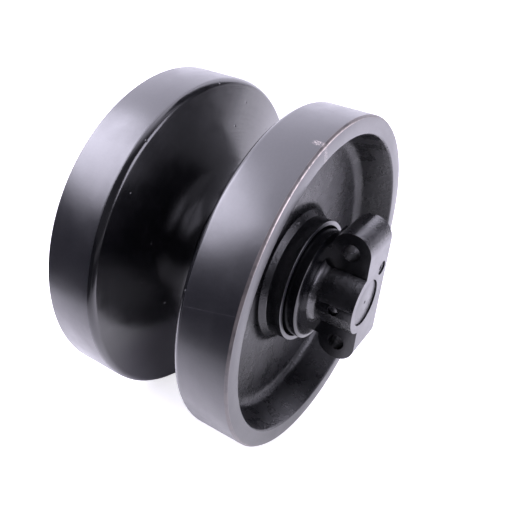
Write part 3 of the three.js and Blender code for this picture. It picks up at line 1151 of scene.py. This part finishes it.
bump(tree, shader, (ring_height, 0.012 * mm), (peel, 0.03 * mm))

# %% [markdown]
# ## Paint in the groove and on forged steel
# The groove's sides were turned smooth and carry a fuller, glossier coat with a few pits. The dish, the
# collars' barrels and bosses were painted as forged, so their gloss is broken up by grain. The coat is
# full on the barrels and thin in the dish and on the collars' seats.

# %% Groove paint
gloss, tree, shader, place = new_finish("gloss_paint", paint_black, 0.2, 0, paint_ior)
at = use_group(tree, axis_group, Vector=place, Spacing=1.5 * mm)
ring_height = noise(tree, at["Rings"], 1.0, 2)
smudge = use_group(tree, smudge_group, Vector=place, Size=35 * mm)["Mask"]
streak = use_group(tree, smudge_group, Vector=at["Rings"], Size=1.5)["Mask"]
pits = use_group(tree, pits_group, Vector=place, Spacing=14 * mm, Share=0.12, Width=0.12)["Mask"]
peel = use_group(tree, grain_group, Vector=place, Size=3 * mm)["Height"]
rough = math_node(tree, "MULTIPLY_ADD", smudge, 0.08, 0.14)
rough = math_node(tree, "MULTIPLY_ADD", streak, 0.04, rough)
tree.links.new(rough, shader.inputs["Roughness"])
tree.links.new(tint(tree, smudge, paint_black, smudged_black), shader.inputs["Base Color"])
dented = math_node(tree, "SUBTRACT", 1.0, pits)
bump(tree, shader, (ring_height, 0.01 * mm), (peel, 0.02 * mm), (dented, 0.5 * mm))

# %% Forged paint
forged, tree, shader, place = new_finish("forged_paint", paint_black, 0.3, 0, thin_coat_ior)
at = use_group(tree, axis_group, Vector=place, Spacing=4 * mm)
faint_rings = noise(tree, at["Rings"], 1.0, 2)
grain = use_group(tree, grain_group, Vector=place, Size=1.9 * mm)["Height"]
spots = use_group(tree, pits_group, Vector=place, Spacing=6 * mm, Share=0.06, Width=0.3)["Mask"]
smudge = use_group(tree, smudge_group, Vector=place, Size=25 * mm)["Mask"]
edge = use_group(tree, wear_group, Vector=place, Width=0.7 * mm, Amount=0.5)["Mask"]
rough = math_node(tree, "MULTIPLY_ADD", smudge, 0.14, 0.22)
tree.links.new(rough, shader.inputs["Roughness"])
color = tint(tree, smudge, paint_black, forged_black)
color = tint(tree, product(tree, edge, 0.35), color, bare_steel)
tree.links.new(color, shader.inputs["Base Color"])
bump(tree, shader, (faint_rings, 0.04 * mm), (grain, 0.3 * mm), (spots, 0.5 * mm))


def thicker_or_thinner(name, finish, ior):
    """The same paint with a stronger or weaker gloss."""
    other = finish.copy()
    other.name = name
    other.node_tree.nodes["Principled BSDF"].inputs["IOR"].default_value = ior
    return other


barrel_paint = thicker_or_thinner("barrel_paint", forged, paint_ior)
seat_paint = thicker_or_thinner("seat_paint", gloss, thin_coat_ior)

# %% [markdown]
# ## Inner finishes
# The seal rings are lapped steel, the bushes and washers are turned bronze, and the seals are rubber
# with a fine moulded grain.

# %% Steel, bronze and rubber
def metal(name, color, darker, roughness):
    finish, tree, shader, place = new_finish(name, color, roughness, 1)
    at = use_group(tree, axis_group, Vector=place, Spacing=0.4 * mm)
    ring_height = noise(tree, at["Rings"], 1.0, 2)
    smudge = use_group(tree, smudge_group, Vector=place, Size=10 * mm)["Mask"]
    tree.links.new(tint(tree, smudge, color, darker), shader.inputs["Base Color"])
    rough = math_node(tree, "MULTIPLY_ADD", smudge, 0.15, roughness - 0.07)
    tree.links.new(rough, shader.inputs["Roughness"])
    bump(tree, shader, (ring_height, 0.02 * mm))
    return finish


steel = metal("lapped_steel", (0.55, 0.56, 0.58), (0.42, 0.42, 0.44), 0.28)
bronze = metal("turned_bronze", (0.62, 0.42, 0.2), (0.45, 0.28, 0.13), 0.36)
rubber_black = (0.016, 0.016, 0.016)
rubber_dusty = (0.034, 0.033, 0.031)
rubber, tree, shader, place = new_finish("moulded_rubber", rubber_black, 0.8)
grain = use_group(tree, grain_group, Vector=place, Size=0.8 * mm)["Height"]
dusty = use_group(tree, smudge_group, Vector=place, Size=8 * mm)["Mask"]
tree.links.new(tint(tree, dusty, rubber_black, rubber_dusty), shader.inputs["Base Color"])
tree.links.new(math_node(tree, "MULTIPLY_ADD", dusty, 0.15, 0.7), shader.inputs["Roughness"])
bump(tree, shader, (grain, 0.08 * mm))

# %% [markdown]
# ## Dressing the pieces
# Each piece gets its finishes as material slots, and the faces of a forging that were turned or
# machined afterwards are picked by where they lie.

# %% Covering faces with a finish
def dress(pieces, *finishes):
    """Gives pieces their material slots. The first finish covers all faces."""
    for piece in pieces:
        piece.data.materials.clear()
        for finish in finishes:
            piece.data.materials.append(finish)
        for face in piece.data.polygons:
            face.material_index = 0


def cover(piece, slot, test):
    """Paints the faces whose place (distance from axis, along, across, normal) passes a test."""
    only(piece)
    bpy.ops.object.mode_set(mode="EDIT")
    count = pick(piece, "FACE", lambda f: test(
        math.hypot(f.center.x, f.center.z), abs(f.center.y), f.center.x, f.normal))
    piece.active_material_index = slot
    bpy.ops.object.material_slot_assign()
    bpy.ops.object.mode_set(mode="OBJECT")
    print(piece.name, count, "faces in", piece.data.materials[slot].name)


def on_groove_side(r, y, x, n):
    return waist_radius - mm < r < tread_radius - 0.3 * mm and y < tread_inner_y


def on_dish(r, y, x, n):
    return hub_radius + mm / 2 < r < lip_radius + mm and tread_inner_y < y < rim_face_y - 0.4 * mm


def on_hub(r, y, x, n):
    return r < hub_radius + mm / 2 and tread_inner_y < y < hub_face_y - 0.2 * mm


def on_seat_or_flange(r, y, x, n):
    return n.x < -0.99 or y < flange_face_y + mm / 2


def on_end_face(r, y, x, n):
    return abs(n.y) > 0.95 and y > flange_face_y + mm


# %% Dress the pieces
halves = [wheel_left, wheel_right]
dress(halves, turned, gloss, forged)
for half in halves:
    cover(half, 1, on_groove_side)
    cover(half, 2, on_dish)
    cover(half, 1, on_hub)

collars = [collar_left, collar_right]
dress(collars, barrel_paint, turned, seat_paint)
for end in collars:
    cover(end, 2, on_seat_or_flange)
    cover(end, 1, on_end_face)

dress([weld], forged)
dress([shaft_piece, *pins, *plugs], turned)
dress([*seal_rings_wheel, *seal_rings_collar], steel)
dress([*bushes, *washers], bronze)
dress(rubbers, rubber)
